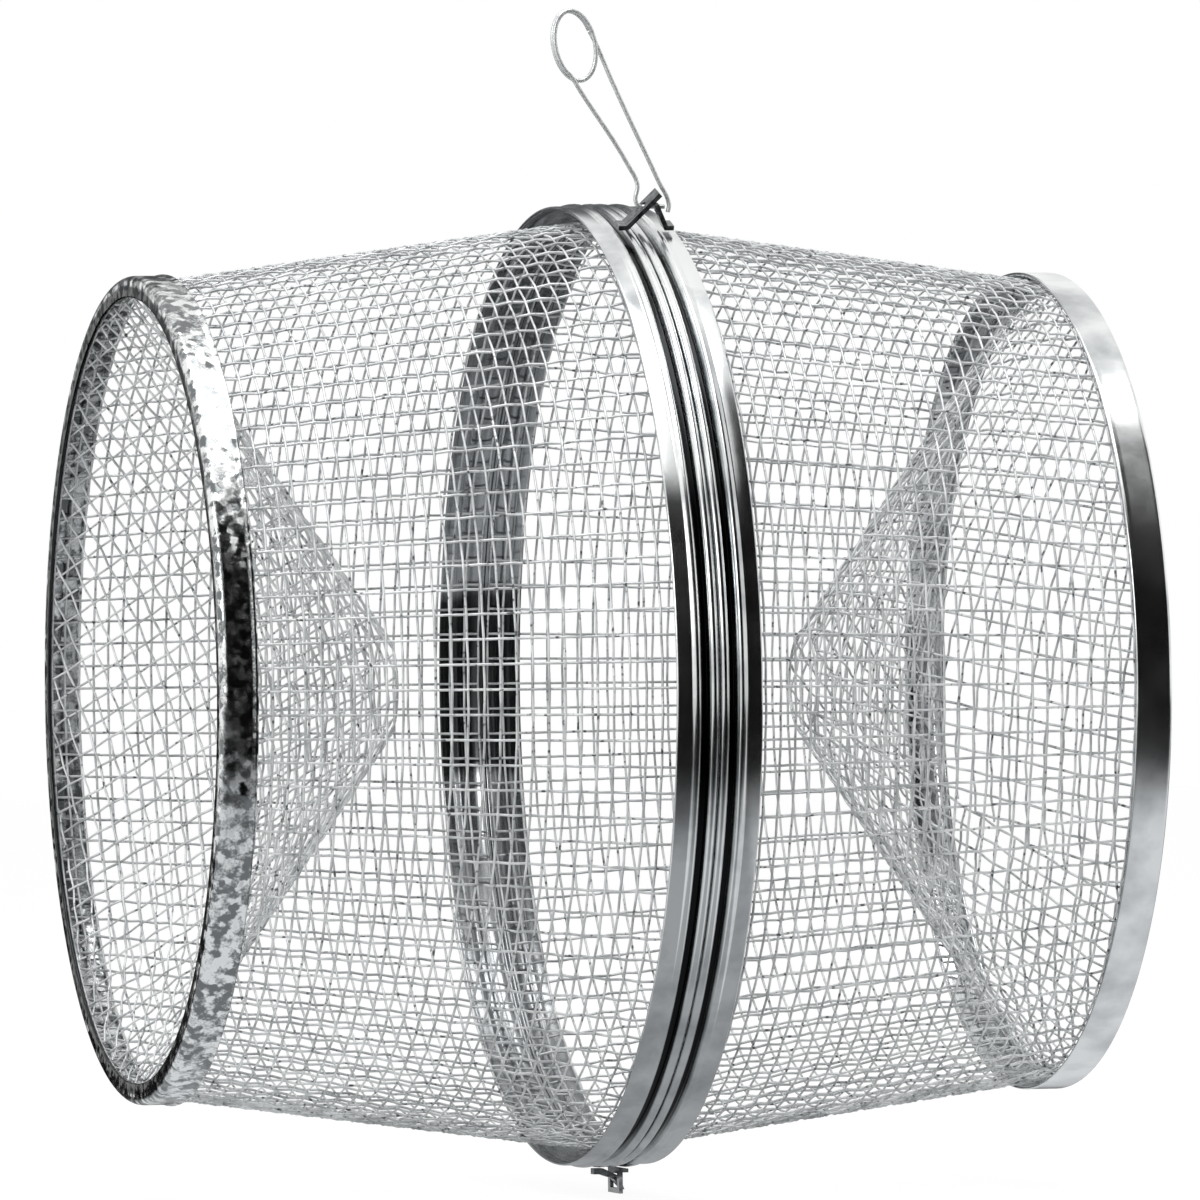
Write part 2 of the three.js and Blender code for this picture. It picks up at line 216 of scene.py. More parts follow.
@dataclass(frozen=True)
class SpangledZinc:
    """Hot-dipped galvanised sheet: zinc crystals that each lean and so mirror different things."""

    colour_low: str = "797c7d"
    colour_high: str = "eef0f0"
    # Colour of the painted shade along the flange's turned-in inner edge.
    colour_edge_shade: str = "303233"
    spangle_mm: float = 1.7
    grain_mm: float = 0.6
    warp_share: float = 1.1
    softness: float = 0.9
    grain_share: float = 0.45
    tone_range: tuple[float, float] = (0.36, 0.6)
    roughness: tuple[float, float] = (0.14, 0.28)
    lean: float = 0.26
    relief: float = 0.25
    relief_depth: float = 0.05 * MM
    edge_radius: float = 95.6 * MM
    edge_fade: float = 0.8 * MM
    edge_start: float = 111.9 * MM

    def build(self) -> bpy.types.Material:
        """Build the material.

        Returns:
            The material.
        """
        shader = Shader(bpy.data.materials.new("hot_dipped_galvanised_sheet"))
        place = shader.add("TexCoord", output="Object")
        size = self.spangle_mm * MM
        # Crystals about two millimetres across, their outlines broken up by a finer grain.
        warp = shader.add("TexNoise", {"Vector": place, "Scale": 1 / size, "Detail": 3.0}, "Color")
        reach = (self.warp_share * size,) * 3
        moved = shader.add("VectorMath", (warp, reach), operation="MULTIPLY")
        warped = shader.add("VectorMath", (place, moved), operation="ADD")
        crystal = {"Vector": warped, "Scale": 1 / size, "Smoothness": self.softness}
        crystals = shader.add("TexVoronoi", crystal, "Color", feature="SMOOTH_F1")
        tone = shader.add("SeparateColor", (crystals,))
        fine = {"Vector": place, "Scale": 1 / (self.grain_mm * MM), "Detail": 4.0}
        grain = shader.add("TexNoise", fine, "Fac")
        mixed = shader.add("Mix", {"Factor": self.grain_share, "A": tone, "B": grain})
        tones = zip(self.tone_range, (self.colour_low, self.colour_high))
        colour = shader.add("ValToRGB", (mixed,), stops=tones)
        # Painted shade: the flange's face along its turned-in inner edge is painted dark, standing
        # in for the shadow there.
        along, radius, _ = shader.polar()
        unshaded_radius = self.edge_radius - self.edge_fade
        edge_shade = shader.add("MapRange", (radius, self.edge_radius, unshaded_radius), **SMOOTH)
        away = shader.add("Math", (along,), operation="ABSOLUTE")
        outer = shader.add("Math", (away, self.edge_start), operation="GREATER_THAN")
        edge_shade = shader.add("Math", (edge_shade, outer), operation="MULTIPLY")
        painted_dark = {0: edge_shade, FIRST: colour, SECOND: linear(self.colour_edge_shade)}
        colour = shader.add("Mix", painted_dark, **COLOURS)
        rough = shader.add("MapRange", (tone, 0.0, 1.0, *self.roughness))
        # Each crystal leans by its own random amount.
        off = shader.add("VectorMath", (crystals, (0.5,) * 3), operation="SUBTRACT")
        off = shader.add("VectorMath", (off, (self.lean,) * 3), operation="MULTIPLY")
        facing = shader.add("NewGeometry", output="Normal")
        leaning = shader.add("VectorMath", (facing, off), operation="ADD")
        leaning = shader.add("VectorMath", (leaning,), operation="NORMALIZE")
        relief = {"Strength": self.relief, "Distance": self.relief_depth, "Height": mixed}
        bump = shader.add("Bump", {**relief, "Normal": leaning})
        finish = {"Base Color": colour, "Metallic": 1.0, "Roughness": rough, "Normal": bump}
        shader.add("OutputMaterial", (shader.add("BsdfPrincipled", finish),))
        return shader.owner


@dataclass(frozen=True)
class BrightSheet:
    """Roll-formed tinned steel sheet: near-mirror, with fine drawn lines that run round the rim."""

    colour_low: str = "b4b7b9"
    colour_high: str = "eceeee"
    # Colour of the painted shade and grime in the grooves of the middle rims.
    colour_groove_shade_and_grime: str = "232425"
    colour_dull: str = "8e9193"
    # Colour of the painted dark reflection inside the far side of the rims.
    colour_far_reflection: str = "1d1e1f"
    line_mm: float = 0.35
    lines_round: float = 9.0
    smear_mm: float = 16.0
    tone_range: tuple[float, float] = (0.3, 0.6)
    roughness: tuple[float, float] = (0.1, 0.27)
    inner_roughness: float = 0.2
    relief: float = 0.12
    relief_depth: float = 0.02 * MM
    groove_radius: float = 114.5 * MM
    groove_range: tuple[float, float] = (1.5 * MM, 2.4 * MM)
    groove_floor: float = 2.8 * MM
    groove_end: float = 6.7 * MM
    border: float = 0.2 * MM
    flat_inside: float = 0.95 * MM
    dull_range: tuple[float, float] = (5 * MM, 10 * MM)
    dull_share: float = 0.8
    # Share, start angle, wander and soft border of the painted dark reflection.
    far_reflection_share: float = 0.9
    far_reflection_start: float = 167 * DEGREE
    far_reflection_wander: float = 0.06
    far_reflection_border: float = 0.05

    def build(self) -> bpy.types.Material:
        """Build the material.

        Returns:
            The material.
        """
        shader = Shader(bpy.data.materials.new("roll_formed_tinned_sheet"))
        along, radius, angle = shader.polar()
        # Drawing lines run round the rim, each a fraction of a millimetre wide.
        across = shader.add("Math", (along, 1 / (self.line_mm * MM)), operation="MULTIPLY")
        turned = shader.add("Math", (angle, self.lines_round / TURN), operation="MULTIPLY")
        lined = shader.add("CombineXYZ", (across, turned))
        lines = shader.add("TexNoise", {"Vector": lined, "Scale": 1.0, "Detail": 3.0}, "Fac")
        place = shader.add("TexCoord", output="Object")
        smear = {"Vector": place, "Scale": 1 / (self.smear_mm * MM), "Detail": 5.0}
        smears = shader.add("TexNoise", smear, "Fac")
        tones = zip(self.tone_range, (self.colour_low, self.colour_high))
        colour = shader.add("ValToRGB", (smears,), stops=tones)
        # Painted shade and grime: the grooves of the middle rims, which lie below the crown of the
        # beads, are painted dark for the shade deep in them and the dirt that gathers there.
        depth = shader.add("Math", (self.groove_radius, radius), operation="SUBTRACT")
        groove_shade_and_grime = shader.add("MapRange", (depth, *self.groove_range), **SMOOTH)
        floor = (self.groove_floor, self.groove_floor + self.border)
        outside = shader.add("MapRange", (depth, *floor, 1.0, 0.0), **SMOOTH)
        away = shader.add("Math", (along,), operation="ABSOLUTE")
        end = (self.groove_end, self.groove_end + self.border)
        grooved = shader.add("MapRange", (away, *end, 1.0, 0.0), **SMOOTH)
        painted_dark = shader.add("Math", (groove_shade_and_grime, outside), operation="MULTIPLY")
        painted_dark = shader.add("Math", (painted_dark, grooved), operation="MULTIPLY")
        shaded_groove_mix = {0: painted_dark, FIRST: colour, SECOND: linear(self.colour_groove_shade_and_grime)}
        colour = shader.add("Mix", shaded_groove_mix, **COLOURS)
        # The inside of the sheet is never wiped and has gone dull.
        inside = (away, *end, self.groove_floor, self.flat_inside)
        start = shader.add("MapRange", inside, **SMOOTH)
        past = shader.add("Math", (depth, start), operation="SUBTRACT")
        inner = shader.add("MapRange", (past, 0.0, self.border), **SMOOTH)
        here = shader.add("MapRange", (depth, *self.dull_range, 1.0, 0.0), **SMOOTH)
        inner = shader.add("Math", (inner, here), operation="MULTIPLY")
        dull = shader.add("Math", (inner, self.dull_share), operation="MULTIPLY")
        dulled = {0: dull, FIRST: colour, SECOND: linear(self.colour_dull)}
        colour = shader.add("Mix", dulled, **COLOURS)
        # Painted reflection: a stretch inside the rims, halfway up their far side, is painted dark
        # for the dark surroundings it mirrors there.
        turn = shader.add("Math", (angle,), operation="ABSOLUTE")
        low, high = (self.far_reflection_start + side * self.far_reflection_wander for side in (-1, 1))
        edge = shader.add("MapRange", (smears, 0.0, 1.0, low, high))
        beyond = shader.add("Math", (turn, edge), operation="SUBTRACT")
        far_reflection = shader.add("MapRange", (beyond, 0.0, self.far_reflection_border), **SMOOTH)
        far_reflection = shader.add("Math", (far_reflection, inner), operation="MULTIPLY")
        far_reflection = shader.add("Math", (far_reflection, self.far_reflection_share), operation="MULTIPLY")
        far_reflection_mix = {0: far_reflection, FIRST: colour, SECOND: linear(self.colour_far_reflection)}
        colour = shader.add("Mix", far_reflection_mix, **COLOURS)
        rough = shader.add("MapRange", (smears, 0.0, 1.0, *self.roughness))
        rough = shader.add("Mix", {"Factor": inner, "A": rough, "B": self.inner_roughness})
        relief = {"Strength": self.relief, "Distance": self.relief_depth, "Height": lines}
        bump = shader.add("Bump", relief)
        finish = {"Base Color": colour, "Metallic": 1.0, "Roughness": rough, "Normal": bump}
        shader.add("OutputMaterial", (shader.add("BsdfPrincipled", finish),))
        return shader.owner


@dataclass(frozen=True)
class PressedSheet:
    """Blanked and bent plated steel: smooth, a little duller than the rims, scuffed at random."""

    colour_low: str = "55585a"
    colour_high: str = "8f9293"
    scuff_mm: float = 1.4
    tone_range: tuple[float, float] = (0.35, 0.65)
    roughness: tuple[float, float] = (0.2, 0.42)
    relief: float = 0.15
    relief_depth: float = 0.03 * MM

    def build(self) -> bpy.types.Material:
        """Build the material.

        Returns:
            The material.
        """
        shader = Shader(bpy.data.materials.new("pressed_plated_steel"))
        place = shader.add("TexCoord", output="Object")
        scuff = {"Vector": place, "Scale": 1 / (self.scuff_mm * MM), "Detail": 6.0}
        scuffs = shader.add("TexNoise", scuff, "Fac")
        tones = zip(self.tone_range, (self.colour_low, self.colour_high))
        colour = shader.add("ValToRGB", (scuffs,), stops=tones)
        rough = shader.add("MapRange", (scuffs, 0.0, 1.0, *self.roughness))
        relief = {"Strength": self.relief, "Distance": self.relief_depth, "Height": scuffs}
        bump = shader.add("Bump", relief)
        finish = {"Base Color": colour, "Metallic": 1.0, "Roughness": rough, "Normal": bump}
        shader.add("OutputMaterial", (shader.add("BsdfPrincipled", finish),))
        return shader.owner


@dataclass(frozen=True)
class SpringWire:
    """Cold-drawn plated spring wire: satin grey with faint lengthwise streaks."""

    colour_low: str = "b6b9ba"
    colour_high: str = "e6e8e8"
    streak_mm: float = 0.5
    tone_range: tuple[float, float] = (0.3, 0.7)
    roughness: tuple[float, float] = (0.28, 0.46)
    metal: float = 0.6

    def build(self) -> bpy.types.Material:
        """Build the material.

        Returns:
            The material.
        """
        shader = Shader(bpy.data.materials.new("drawn_spring_wire"))
        place = shader.add("TexCoord", output="Object")
        # The streaks are drawn coarser than real ones, which would be too fine to show.
        streak = {"Vector": place, "Scale": 1 / (self.streak_mm * MM), "Detail": 2.0}
        streaks = shader.add("TexNoise", streak, "Fac")
        tones = zip(self.tone_range, (self.colour_low, self.colour_high))
        colour = shader.add("ValToRGB", (streaks,), stops=tones)
        rough = shader.add("MapRange", (streaks, 0.0, 1.0, *self.roughness))
        finish = {"Base Color": colour, "Metallic": self.metal, "Roughness": rough}
        shader.add("OutputMaterial", (shader.add("BsdfPrincipled", finish),))
        return shader.owner


def shown(name: str, mesh: bpy.types.Mesh, material: bpy.types.Material) -> bpy.types.Object:
    """Put a mesh in the scene as one object with one finish.

    Args:
        name: the object's name.
        mesh: its mesh, in world metres.
        material: its finish.

    Returns:
        The new object.
    """
    mesh.name = name
    mesh.materials.clear()
    mesh.materials.append(material)
    obj = bpy.data.objects.new(name, mesh)
    bpy.context.scene.collection.objects.link(obj)
    return obj


def wires(
    name: str, routes: Iterable[Route], radius: float, resolution: int = 0, smooth: bool = False
) -> bpy.types.Mesh:
    """Sweep round wire along its routes and make it one mesh.

    Args:
        name: the mesh's name.
        routes: the points of each wire, and whether it closes on itself.
        radius: the wire's radius.
        resolution: more sides for a larger number, four at 0.
        smooth: whether a route is a smooth curve through its points.

    Returns:
        The mesh.
    """
    curve = bpy.data.curves.new(name, "CURVE")
    curve.dimensions = "3D"
    curve.bevel_depth = radius
    curve.bevel_resolution = resolution
    curve.use_fill_caps = True
    curve.resolution_u = 6
    for points, closed in routes:
        if smooth:
            spline = curve.splines.new("BEZIER")
            spline.bezier_points.add(len(points) - 1)
            for knot, point in zip(spline.bezier_points, points):
                knot.co = point
                knot.handle_left_type = knot.handle_right_type = "AUTO"
        else:
            spline = curve.splines.new("POLY")
            spline.points.add(len(points) - 1)
            for knot, point in zip(spline.points, points):
                knot.co = (*point, 1.0)
        spline.use_cyclic_u = closed
        spline.use_smooth = True
    holder = bpy.data.objects.new(name, curve)
    bpy.context.scene.collection.objects.link(holder)
    swept = holder.evaluated_get(bpy.context.evaluated_depsgraph_get())
    mesh = bpy.data.meshes.new_from_object(swept)
    bpy.data.objects.remove(holder)
    bpy.data.curves.remove(curve)
    return mesh


def on_round(x: float, radius: float, angle: float) -> Vector:
    """The point at a distance and an angle round the trap's axis, with angle 0 at the top."""
    return Vector((x, -radius * math.sin(angle), AXIS_HEIGHT + radius * math.cos(angle)))


def turned_sheet(outline: Outline, facets: int) -> bpy.types.Mesh:
    """Spin an outline once round the trap's axis.

    Args:
        outline: X and radius of each point of a closed outline.
        facets: number of facets round the turn.

    Returns:
        The mesh, shaded smooth.
    """
    mesh = bpy.data.meshes.new("turned")
    bm = bmesh.new()
    corners = [bm.verts.new(on_round(x, radius, 0.0)) for x, radius in outline]
    edges = [bm.edges.new(pair) for pair in zip(corners, corners[1:] + corners[:1])]
    bmesh.ops.spin(
        bm,
        geom=corners + edges,
        cent=(0.0, 0.0, AXIS_HEIGHT),
        axis=(1.0, 0.0, 0.0),
        angle=TURN,
        steps=facets,
        use_merge=True,
    )
    bmesh.ops.recalc_face_normals(bm, faces=bm.faces)
    for face in bm.faces:
        face.smooth = True
    bm.to_mesh(mesh)
    bm.free()
    return mesh


def arc(x: float, radius: float, size: float, start: float, stop: float, steps: int) -> Outline:
    """Points of an arc in an outline.

    Args:
        x: the arc centre's distance along X.
        radius: the arc centre's distance from the axis.
        size: the arc's own radius.
        start: first angle in degrees, 0 along +X and 90 outwards.
        stop: last angle in degrees.
        steps: number of pieces of the arc.

    Returns:
        X and radius of each point.
    """
    points = []
    for i in range(steps + 1):
        angle = math.radians(start + (stop - start) * i / steps)
        points.append((x + size * math.cos(angle), radius + size * math.sin(angle)))
    return points


@dataclass
class ShellCloth:
    """The tapering outer cloth of one half: plain-woven wires along and round it."""

    half: Half
    finish: bpy.types.Material
    start: float = 1.15 * MM
    stop: float = 112.1 * MM
    start_radius: float = 110.26 * MM
    stop_radius: float = 95.15 * MM
    wire: float = 0.3 * MM
    crimp: float = 0.27 * MM
    along: int = 112
    rings: int = 31

    def surface(self, share: float, angle: float, lift: float) -> Vector:
        """Find a point on the cone or just off it.

        Args:
            share: share of the cloth's length.
            angle: angle round the axis.
            lift: distance off the cone.

        Returns:
            The point.
        """
        x = self.start + (self.stop - self.start) * share
        radius = self.start_radius + (self.stop_radius - self.start_radius) * share
        return on_round(self.half.value * x, radius + lift, angle)

    def lengthwise(self, number: int) -> list[Vector]:
        """Lay one wire along the cone, over and under the rings.

        Args:
            number: which of the long wires.

        Returns:
            Its points.
        """
        angle = TURN * number / self.along
        points = []
        for i in range(2 * self.rings - 1):
            lift = 0.0 if i % 2 else self.crimp * (1 if (i // 2 + number) % 2 else -1)
            points.append(self.surface(i / (2 * self.rings - 2), angle, lift))
        return points

    def ring(self, number: int) -> list[Vector]:
        """Lay one wire round the cone, under and over the long wires.

        Args:
            number: which of the rings.

        Returns:
            Its points.
        """
        share = number / (self.rings - 1)
        points = []
        for i in range(2 * self.along):
            lift = 0.0 if i % 2 else self.crimp * (-1 if (i // 2 + number) % 2 else 1)
            points.append(self.surface(share, TURN * i / (2 * self.along), lift))
        return points

    def build(self) -> bpy.types.Object:
        """Build the cloth in place of its frame node.

        Returns:
            The cloth.
        """
        routes = [(self.lengthwise(i), False) for i in range(self.along)]
        routes += [(self.ring(i), True) for i in range(self.rings)]
        mesh = wires("shell", routes, self.wire)
        obj = shown(self.half.node("woven_shell"), mesh, self.finish)
        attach(obj, self.half.body)
        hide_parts(self.half.node("shell_cloth"))
        return obj


@dataclass
class FunnelCloth:
    """The funnel of one half: square-mesh cloth rolled to a cone, so that its wires run askew.

    The seam, where the edges of the flat cloth meet, is an angle in radians from the top.
    """

    half: Half
    finish: bpy.types.Material
    mouth: float = 51.3 * MM
    base: float = 112.0 * MM
    mouth_radius: float = 12.1 * MM
    base_radius: float = 93.6 * MM
    pitch: float = 5.2 * MM
    wire: float = 0.3 * MM
    crimp: float = 0.27 * MM
    seam: float = 2.2
    knots: int = 4
    hem_knots: int = 96

    @property
    def sine(self) -> float:
        """Radius gained for each step along the slope."""
        widening = self.base_radius - self.mouth_radius
        return widening / math.hypot(widening, self.base - self.mouth)

    def rolled(self, u: float, v: float, lift: float) -> Vector:
        """Roll a point of the flat cloth onto the cone.

        Args:
            u: the point's first coordinate on the flat cloth.
            v: its second coordinate.
            lift: distance off the cone.

        Returns:
            The point.
        """
        radius = math.hypot(u, v) * self.sine
        share = (radius - self.mouth_radius) / (self.base_radius - self.mouth_radius)
        x = self.mouth + (self.base - self.mouth) * share
        angle = math.atan2(v, u) % TURN / self.sine + self.seam
        slope = math.sqrt(1 - self.sine**2)
        return on_round(self.half.value * (x - lift * self.sine), radius + lift * slope, angle)

    def inside(self, u: float, v: float) -> bool:
        """Tell whether a point of the flat cloth is kept in the rolled funnel.

        Args:
            u: the point's first coordinate on the flat cloth.
            v: its second coordinate.

        Returns:
            Whether it is kept.
        """
        slant = math.hypot(u, v)
        low, high = self.mouth_radius / self.sine, self.base_radius / self.sine
        return low <= slant <= high and math.atan2(v, u) % TURN <= TURN * self.sine

    def family(self, crosswise: bool) -> list[Route]:
        """Lay the wires of one direction.

        Args:
            crosswise: which of the two directions.

        Returns:
            The points of each wire, none of them closed.
        """
        reach = math.ceil(self.base_radius / self.sine / self.pitch)
        side = -1 if crosswise else 1
        routes = []
        for row in range(-reach, reach + 1):
            run: list[Vector] = []
            for step in range(-self.knots * reach, self.knots * reach + 1):
                here, across = step * self.pitch / self.knots, row * self.pitch
                u, v = (across, here) if crosswise else (here, across)
                if self.inside(u, v):
                    wave = math.cos(math.pi * (step / self.knots + row))
                    run.append(self.rolled(u, v, side * self.crimp * wave))
                elif run:
                    routes.append((run, False))
                    run = []
            if run:
                routes.append((run, False))
        return [route for route in routes if len(route[0]) > 1]

    def edge(self, share: float) -> Route:
        """Lay the hem wire round one end of the funnel.

        Args:
            share: share of the way from the mouth to the base.

        Returns:
            Its points, closed.
        """
        radius = self.mouth_radius + (self.base_radius - self.mouth_radius) * share
        x = self.half.value * (self.mouth + (self.base - self.mouth) * share)
        steps = range(self.hem_knots)
        return [on_round(x, radius, TURN * i / self.hem_knots) for i in steps], True

    def build(self) -> bpy.types.Object:
        """Build the funnel in place of its frame node.

        Returns:
            The funnel.
        """
        routes = self.family(False) + self.family(True) + [self.edge(0.0), self.edge(1.0)]
        mesh = wires("funnel", routes, self.wire)
        obj = shown(self.half.node("woven_funnel"), mesh, self.finish)
        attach(obj, self.half.body)
        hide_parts(self.half.node("funnel_cloth"))
        return obj


@dataclass
class MiddleRim:
    """The sheet rim at the joint: a rolled edge, a groove, a raised bead and a flat band."""

    half: Half
    finish: bpy.types.Material
    radius: float = 114.5 * MM
    sheet: float = 0.7 * MM
    joint: float = 0.15 * MM
    roll: float = 1.1 * MM
    groove: float = 1.5 * MM
    groove_depth: float = 2.6 * MM
    corner: float = 0.3 * MM
    foot: float = 0.4 * MM
    bead: float = 2.6 * MM
    bead_power: float = 0.75
    bead_steps: int = 12
    flat: float = 3.8 * MM
    flat_depth: float = 0.6 * MM
    flat_bends: tuple[float, float] = (1.2 * MM, 0.6 * MM)
    groove_bends: tuple[float, float] = (0.2 * MM, -0.4 * MM)
    lip: float = 4.4 * MM
    hem: float = 0.45 * MM
    facets: int = 160

    def outline(self) -> Outline:
        """Draw the rim's cross-section.

        Returns:
            X away from the joint and radius of each point.
        """
        roll_x = self.joint + self.roll
        groove_x = roll_x + self.roll
        bead_x = groove_x + self.groove
        flat_x = bead_x + self.bead
        end_x = flat_x + self.flat
        low = self.radius - self.groove_depth
        flat = self.radius - self.flat_depth
        points = [(self.joint, self.radius - self.lip)]
        points += arc(roll_x, self.radius - self.roll, self.roll, 180, 0, 12)
        points += arc(groove_x + self.foot, low + self.corner, self.corner, 220, 270, 3)
        points += [(bead_x - self.corner, low)]
        swell = self.bead / 2
        for i in range(self.bead_steps + 1):
            share = -1 + 2 * i / self.bead_steps
            rise = (1 - share * share) ** self.bead_power
            floor = low if share < 0 else flat
            points.append((bead_x + swell + swell * share, floor + (self.radius - floor) * rise))
        points += [(flat_x + self.foot, flat)]
        points += arc(end_x - self.hem, flat - self.hem, self.hem, 90, -90, 6)
        # Inside, the sheet follows the flat and then steps down below the bead and the groove.
        inner = low - self.sheet
        points += [(flat_x + bend, flat - self.sheet) for bend in self.flat_bends]
        points += [(flat_x + bend, inner) for bend in self.groove_bends]
        points += [(bead_x, inner), (self.joint + self.sheet, inner)]
        points += [(self.joint + self.sheet, self.radius - self.lip)]
        return points

    def build(self) -> bpy.types.Object:
        """Build the rim in place of its frame node.

        Returns:
            The rim.
        """
        outline = [(self.half.value * x, radius) for x, radius in self.outline()]
        mesh = turned_sheet(outline, self.facets)
        obj = shown(self.half.node("rolled_middle_rim"), mesh, self.finish)
        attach(obj, self.half.body)
        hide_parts(self.half.node("middle_rim"))
        return obj


@dataclass
class EndRim:
    """The rim at the funnel's wide end: a band, a rounded corner and a flange over both cloths."""

    half: Half
    finish: bpy.types.Material
    slot: str
    end: float = 113.3 * MM
    radius: float = 98 * MM
    band: float = 8.8 * MM
    sheet: float = 0.9 * MM
    flange: float = 5.5 * MM
    corner: float = 1.8 * MM
    crown: float = 0.35 * MM
    crown_share: float = 0.7
    bends: tuple[float, float, float] = (0.9 * MM, 1.4 * MM, 1.8 * MM)
    lead: float = 0.4 * MM
    inside_drop: float = 0.1 * MM
    facets: int = 160

    def outline(self) -> Outline:
        """Draw the rim's cross-section.

        Returns:
            X away from the joint and radius of each point.
        """
        start = self.end - self.band
        half_sheet = self.sheet / 2
        body = self.radius - self.crown
        bends = [start + bend for bend in self.bends]
        points = arc(start + half_sheet, self.radius - half_sheet, half_sheet, 270, 90, 6)
        points += [(bends[0], body + self.crown_share * self.crown)]
        # Two points at each end of the band keep its normals straight.
        points += [(bends[1], body), (bends[2], body)]
        points += [(self.end - self.corner - self.lead, body)]
        points += arc(self.end - self.corner, body - self.corner, self.corner, 90, 0, 8)
        rim = self.radius - self.flange
        points += arc(self.end - half_sheet, rim + half_sheet, half_sheet, 0, -180, 6)
        points += [(self.end - self.sheet, self.radius - 2 * self.sheet)]
        points += [(self.end - 2 * self.sheet, self.radius - self.sheet - self.crown)]
        points += [(start + 2 * self.sheet, self.radius - self.sheet - self.inside_drop)]
        return points

    def build(self) -> bpy.types.Object:
        """Build the rim in place of its frame node.

        Returns:
            The rim.
        """
        outline = [(self.half.value * x, radius) for x, radius in self.outline()]
        mesh = turned_sheet(outline, self.facets)
        obj = shown(self.half.node("formed_end_rim"), mesh, self.finish)
        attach(obj, self.half.body)
        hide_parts(self.half.node("end_rim"))
        return obj


@dataclass
class WireClip:
    """The spring clip: a coiled eye with two legs that close to a hook round the lugs.

    The places along the legs are millimetres from the joint and above the lug's hole.
    """

    finish: bpy.types.Material
    radius: float = 0.52 * MM
    plane: float = -41.829 * MM
    hole: float = 112.474 * MM
    eye: tuple[float, float] = (-14.4 * MM, 37.7 * MM)
    eye_half: tuple[float, float] = (4.9 * MM, 8.3 * MM)
    tilt: float = 12 * DEGREE
    pitch: float = 2 * MM
    start: float = 235 * DEGREE
    turn: float = 575 * DEGREE
    coil_knots: int = 38
    foot: tuple[tuple[float, float], ...] = ((7.0, 0.0), (2.1, 0.0), (1.1, 0.0), (0.1, 1.0))
    shin: tuple[tuple[float, float], ...] = ((0.5, 5.2), (-1.4, 9.2))
    knee: tuple[float, float] = (-13.5, 27.0)
    gate_knee: tuple[float, float] = (-5.3, 29.6)
    gate_toe: tuple[tuple[float, float], ...] = ((5.6, 6.0), (8.1, 0.6), (7.8, -1.3))
    gate_gap: float = 0.4 * MM
    gate_lead: float = 2.08 * MM
    resolution: int = 4

    def at(self, x: float, rise: float, offset: float = 0.0) -> Vector:
        """A point of the clip, from its distance to the joint and its rise above the lug's hole."""
        return Vector((x, self.plane + offset, AXIS_HEIGHT + self.hole + rise))

    def coil(self, share: float) -> Vector:
        """Find a point of the eye.

        Args:
            share: share of the eye's turn.

        Returns:
            The point.
        """
        angle = self.start - self.turn * share
        across = self.eye_half[0] * math.cos(angle)
        along = self.eye_half[1] * math.sin(angle)
        return self.at(
            self.eye[0] + across * math.cos(self.tilt) - along * math.sin(self.tilt),
            self.eye[1] + across * math.sin(self.tilt) + along * math.cos(self.tilt),
            self.turn / TURN * self.pitch * (share - 0.5),
        )

    def fixed_leg(self) -> list[Vector]:
        """Lay the wire from its end between the lugs to the end of the eye.

        Returns:
            Its points.
        """
        side = self.coil(0).y - self.plane
        points = [self.at(x * MM, rise * MM) for x, rise in self.foot + self.shin]
        points += [self.at(self.knee[0] * MM, self.knee[1] * MM, side)]
        points += [self.coil(i / self.coil_knots) for i in range(self.coil_knots + 1)]
        return points

    def gate(self) -> list[Vector]:
        """Lay the leg that springs open, from the eye to its toe.

        Returns:
            Its points.
        """
        last = self.coil(1)
        onward = (last - self.coil(1 - 1 / self.coil_knots)).normalized()
        first = last + onward * self.gate_gap
        side = (last.y - self.plane) / 2
        points = [first, first + onward * self.gate_lead]
        points += [self.at(self.gate_knee[0] * MM, self.gate_knee[1] * MM, side)]
        return points + [self.at(x * MM, rise * MM) for x, rise in self.gate_toe]

    def build(self) -> list[bpy.types.Object]:
        """Build both parts of the wire in place of their frame nodes.

        Returns:
            The fixed part and the gate.
        """
        made = []
        for name, node, body, points in (
            ("clip_spring_wire", "clip_wire", "clip", self.fixed_leg()),
            ("clip_gate_leg", "clip_gate", "gate", self.gate()),
        ):
            mesh = wires(name, [(points, False)], self.radius, self.resolution, smooth=True)
            obj = shown(name, mesh, self.finish)
            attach(obj, body)
            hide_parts(node)
            made.append(obj)
        return made


@dataclass
class Fittings:
    """The bent-sheet lugs, hook and eye, shown as their frame nodes."""

    finish: bpy.types.Material
    nodes: tuple[str, ...] = ("left_latch_lug", "right_latch_lug", "hinge_hook", "hinge_eye")

    def build(self) -> list[bpy.types.Object]:
        """Dress the frame nodes.

        Returns:
            The frame nodes.
        """
        made = []
        for name in self.nodes:
            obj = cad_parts[name]
            obj.data.materials.clear()
            obj.data.materials.append(self.finish)
            made.append(obj)
        return made


